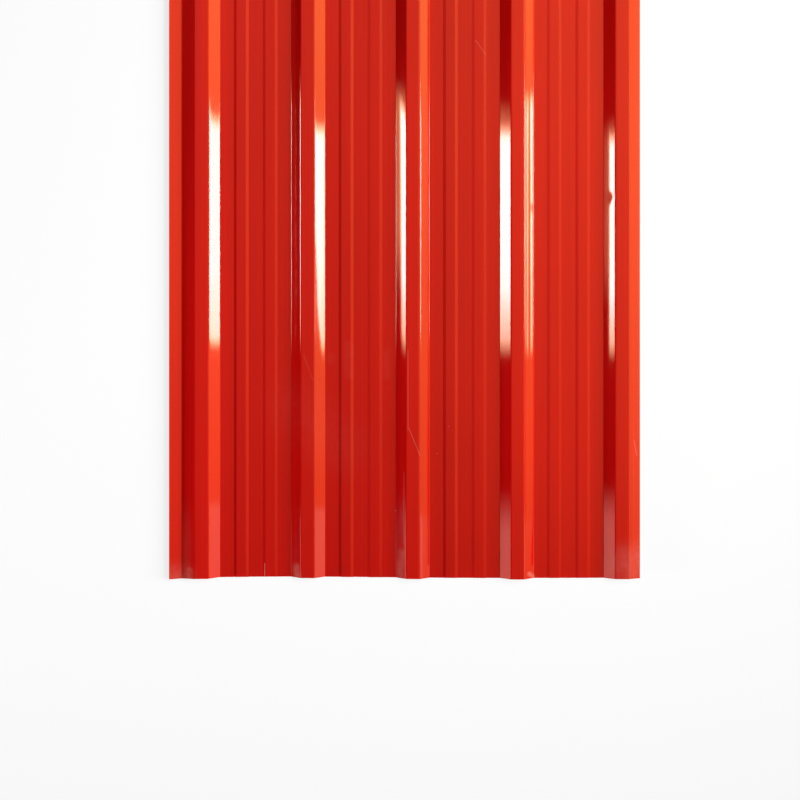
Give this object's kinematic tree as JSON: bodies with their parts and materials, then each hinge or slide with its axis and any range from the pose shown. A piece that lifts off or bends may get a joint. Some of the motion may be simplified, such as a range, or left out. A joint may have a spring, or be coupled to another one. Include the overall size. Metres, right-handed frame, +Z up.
{
  "type": "trapezoidal corrugated metal sheet",
  "caption": "Long trapezoidal ribbed sheet of glossy red prepainted steel, with shallow stiffeners in its pans and a lap along each side, for covering roofs, walls and fences.",
  "frame": {"origin": "middle of the sheet's outline, on the floor that its pans lie on", "axes": "+Y along the ribs, +X across them towards the plain side lap, +Z up from the pans to the crests"},
  "size_m": [0.9206, 2, 0.018],
  "materials": {
    "paint": "gloss"
  },
  "bodies": {
    "root": {"ribbed_sheet": "paint"}
  },
  "joints": []
}
